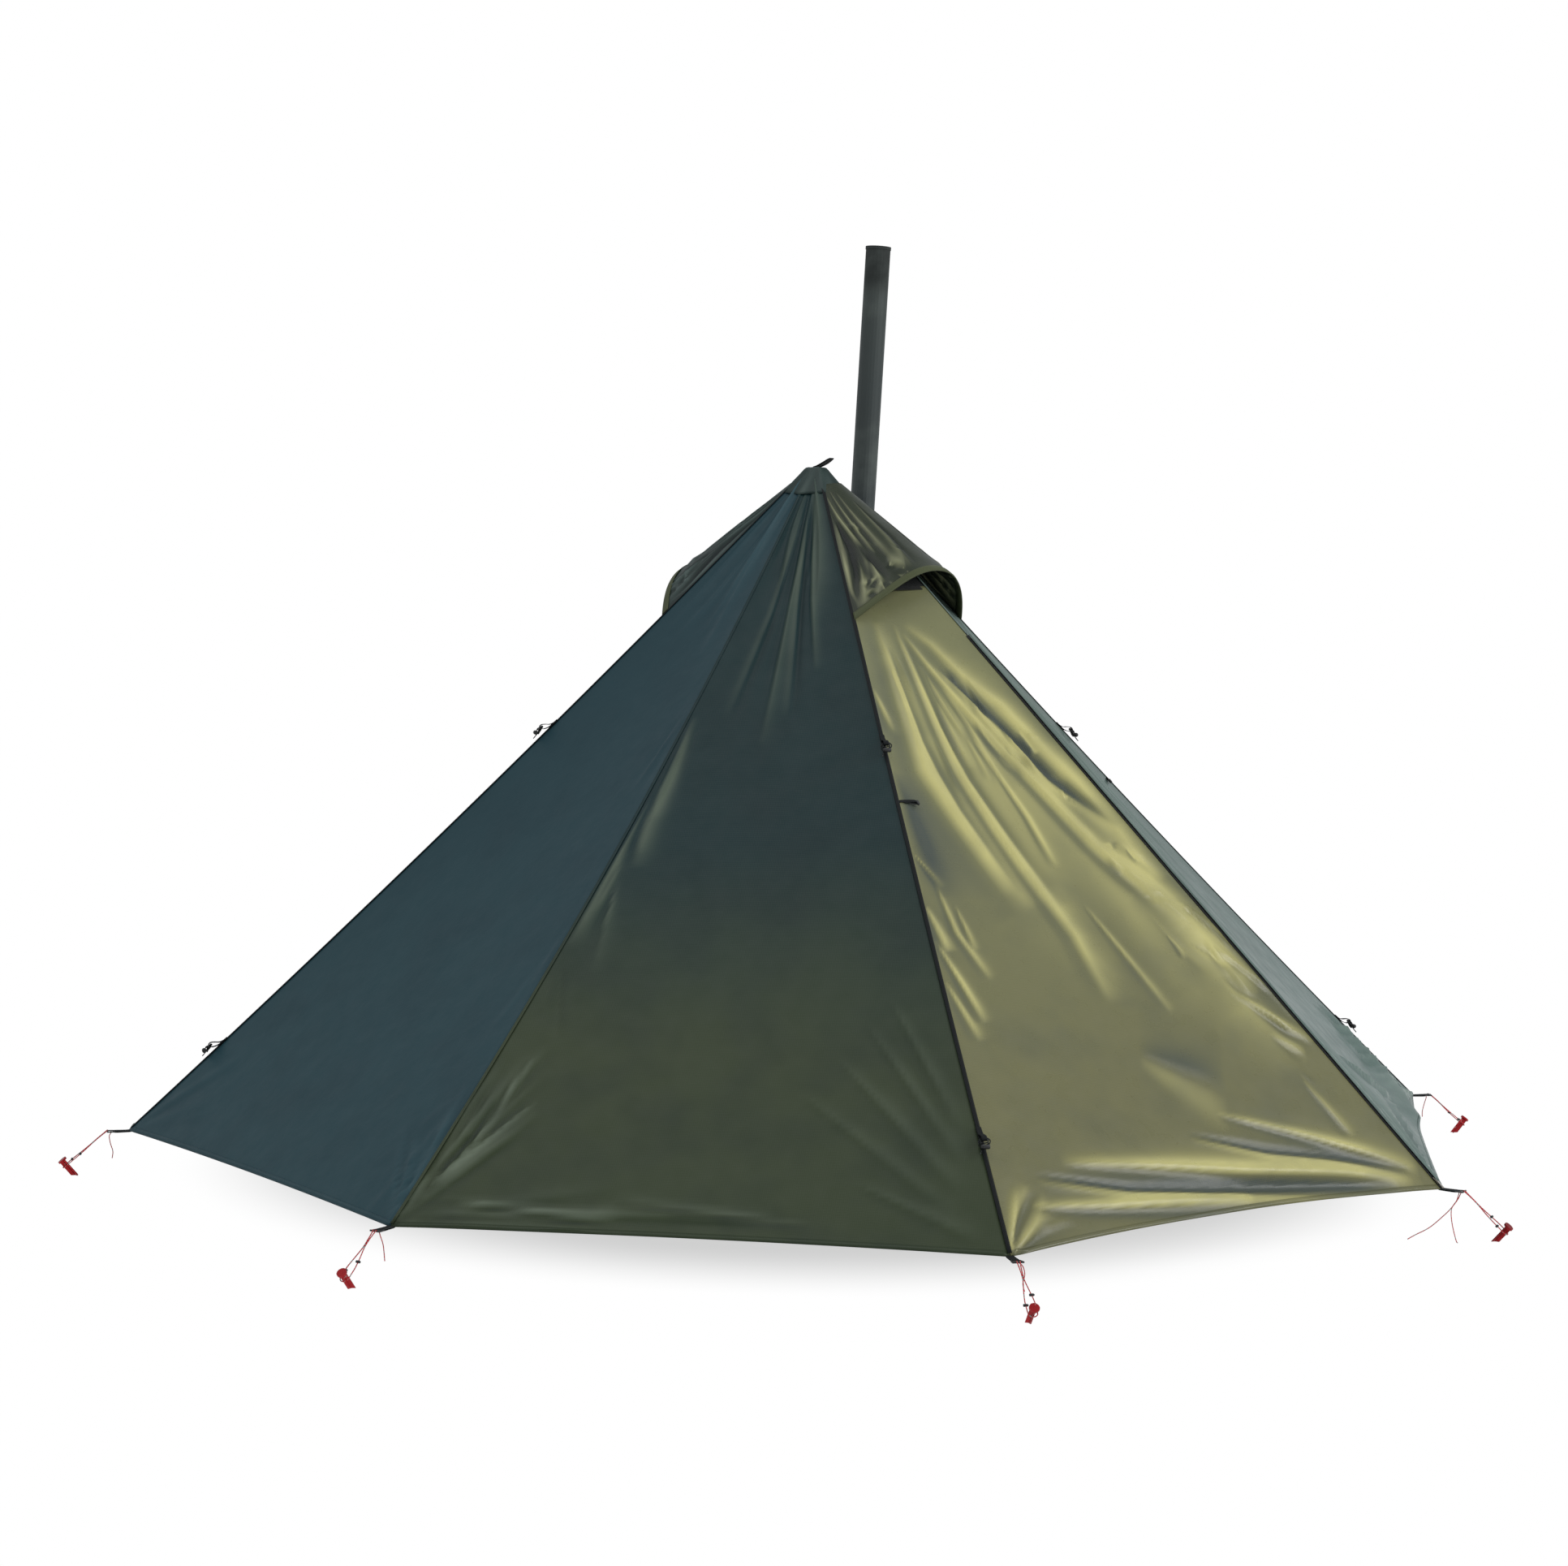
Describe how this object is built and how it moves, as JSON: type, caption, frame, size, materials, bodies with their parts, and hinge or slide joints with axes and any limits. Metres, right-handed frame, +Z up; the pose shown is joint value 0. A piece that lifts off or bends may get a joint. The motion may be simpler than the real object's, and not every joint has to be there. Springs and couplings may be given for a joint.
{
  "type": "hot tent",
  "caption": "Eight-sided pyramid tent on a centre pole with two hooded zip doors, pegged corners and a wood stove whose flue pipe leaves through a heat-proof patch.",
  "frame": {"origin": "on the ground under the middle of the centre pole", "axes": "+Z up, -Y out through the front door, +X to the right of somebody who looks at the front door"},
  "size_m": [4.5244, 4.5244, 2.8668],
  "materials": {
    "tent_cloth": "thin silicone-coated nylon, slightly glossy",
    "door_cloth": "thin silicone-coated nylon, slightly glossy",
    "hood_cloth": "thin silicone-coated nylon",
    "brim_binding": "stiffened folded cloth",
    "vent_net": "fine black net",
    "black_webbing": "woven webbing with moulded buckle",
    "two_tone_cord": "braided cord, red with grey tracer",
    "red_anodised": "red anodised aluminium",
    "pole_alloy": "drawn aluminium tube",
    "black_rubber": "matt",
    "zip_black": "black coil zip",
    "stove_black": "heat-proof black paint on sheet steel",
    "stove_steel": "plain steel",
    "flue_steel": "smoke-darkened steel",
    "jack_patch": "silicone-coated glass cloth"
  },
  "bodies": {
    "pitched_tent": {"corner_buckle_right": "black_webbing", "peg_cord_right": "two_tone_cord", "peg_right": "red_anodised", "corner_buckle_back_right": "black_webbing", "peg_cord_back_right": "two_tone_cord", "peg_back_right": "red_anodised", "corner_buckle_back": "black_webbing", "peg_cord_back": "two_tone_cord", "peg_back": "red_anodised", "corner_buckle_back_left": "black_webbing", "peg_cord_back_left": "two_tone_cord", "peg_back_left": "red_anodised", "corner_buckle_left": "black_webbing", "peg_cord_left": "two_tone_cord", "peg_left": "red_anodised", "corner_buckle_front_left": "black_webbing", "peg_cord_front_left": "two_tone_cord", "peg_front_left": "red_anodised", "corner_buckle_front": "black_webbing", "peg_cord_front": "two_tone_cord", "peg_front": "red_anodised", "corner_buckle_front_right": "black_webbing", "peg_cord_front_right": "two_tone_cord", "peg_front_right": "red_anodised", "side_panel_right_front": "tent_cloth", "side_panel_right_back": "tent_cloth", "side_panel_left_front": "tent_cloth", "side_panel_left_back": "tent_cloth", "door_head_front": "door_cloth", "vent_net_front": "vent_net", "hood_front": "hood_cloth", "hood_brim_front": "brim_binding", "door_head_back": "door_cloth", "vent_net_back": "vent_net", "hood_back": "hood_cloth", "hood_brim_back": "brim_binding", "crown_patch": "tent_cloth", "hang_loop": "black_webbing", "pole_foot": "black_rubber", "pole_lower": "pole_alloy", "pole_upper": "pole_alloy", "stove_firebox": "stove_black", "stove_pipe": "flue_steel", "stove_jack": "jack_patch"},
    "flap_front_left": {"door_flap_front_left": "door_cloth", "zip_half_front_left": "zip_black"},
    "flap_front_right": {"door_flap_front_right": "door_cloth", "zip_half_front_right": "zip_black"},
    "flap_back_left": {"door_flap_back_left": "door_cloth", "zip_half_back_left": "zip_black"},
    "flap_back_right": {"door_flap_back_right": "door_cloth", "zip_half_back_right": "zip_black"},
    "slider_front": {"zip_slider_front": "zip_black"},
    "slider_back": {"zip_slider_back": "zip_black"},
    "fire_door": {"stove_door": "stove_black"},
    "latch": {"stove_latch": "stove_steel"},
    "air_shutter": {"stove_air_shutter": "stove_steel"},
    "legs_front": {"stove_legs_front": "stove_steel"},
    "legs_back": {"stove_legs_back": "stove_steel"},
    "damper": {"flue_damper": "stove_steel"}
  },
  "joints": [
    {"name": "flap_front_left_swing", "type": "hinge", "parent": "pitched_tent", "child": "flap_front_left", "pos_m": [-1.4572, -1.45799, 0.13137], "axis": [-0.6318, -0.4084, -0.6588], "range_deg": [0, 140]},
    {"name": "flap_front_right_swing", "type": "hinge", "parent": "pitched_tent", "child": "flap_front_right", "pos_m": [1.4572, -1.45799, 0.13137], "axis": [-0.6318, 0.4084, 0.6588], "range_deg": [0, 140]},
    {"name": "flap_back_left_swing", "type": "hinge", "parent": "pitched_tent", "child": "flap_back_left", "pos_m": [-1.4572, 1.45799, 0.13137], "axis": [0.6318, -0.4084, 0.6588], "range_deg": [0, 140]},
    {"name": "flap_back_right_swing", "type": "hinge", "parent": "pitched_tent", "child": "flap_back_right", "pos_m": [1.4572, 1.45799, 0.13137], "axis": [0.6318, 0.4084, -0.6588], "range_deg": [0, 140]},
    {"name": "zip_slider_front_travel", "type": "slide", "parent": "flap_front_left", "child": "slider_front", "axis": [0, 0.7131, 0.701], "range_m": [0, 2.07]},
    {"name": "zip_slider_back_travel", "type": "slide", "parent": "flap_back_right", "child": "slider_back", "axis": [0, -0.7131, 0.701], "range_m": [0, 2.07]},
    {"name": "fire_door_swing", "type": "hinge", "parent": "pitched_tent", "child": "fire_door", "pos_m": [0.18425, 0.17644, 0.295], "axis": [0, 0, -1], "range_deg": [0, 120]},
    {"name": "latch_turn", "type": "hinge", "parent": "fire_door", "child": "latch", "pos_m": [0.24717, 0.03094, 0.313], "axis": [-0.9239, -0.3827, 0], "range_deg": [0, 90]},
    {"name": "air_shutter_slide", "type": "slide", "parent": "fire_door", "child": "air_shutter", "axis": [-0.3827, 0.9239, 0], "range_m": [0, 0.014]},
    {"name": "front_legs_fold", "type": "hinge", "parent": "pitched_tent", "child": "legs_front", "pos_m": [0.25869, 0.10715, 0.185], "axis": [0.3827, -0.9239, 0], "range_deg": [0, 97]},
    {"name": "back_legs_fold", "type": "hinge", "parent": "pitched_tent", "child": "legs_back", "pos_m": [0.58204, 0.24109, 0.174], "axis": [-0.3827, 0.9239, 0], "range_deg": [0, 97]},
    {"name": "damper_turn", "type": "hinge", "parent": "pitched_tent", "child": "damper", "pos_m": [0.5394, 0.21595, 0.55485], "axis": [0.8607, 0.509, 0], "range_deg": [0, 90]}
  ]
}
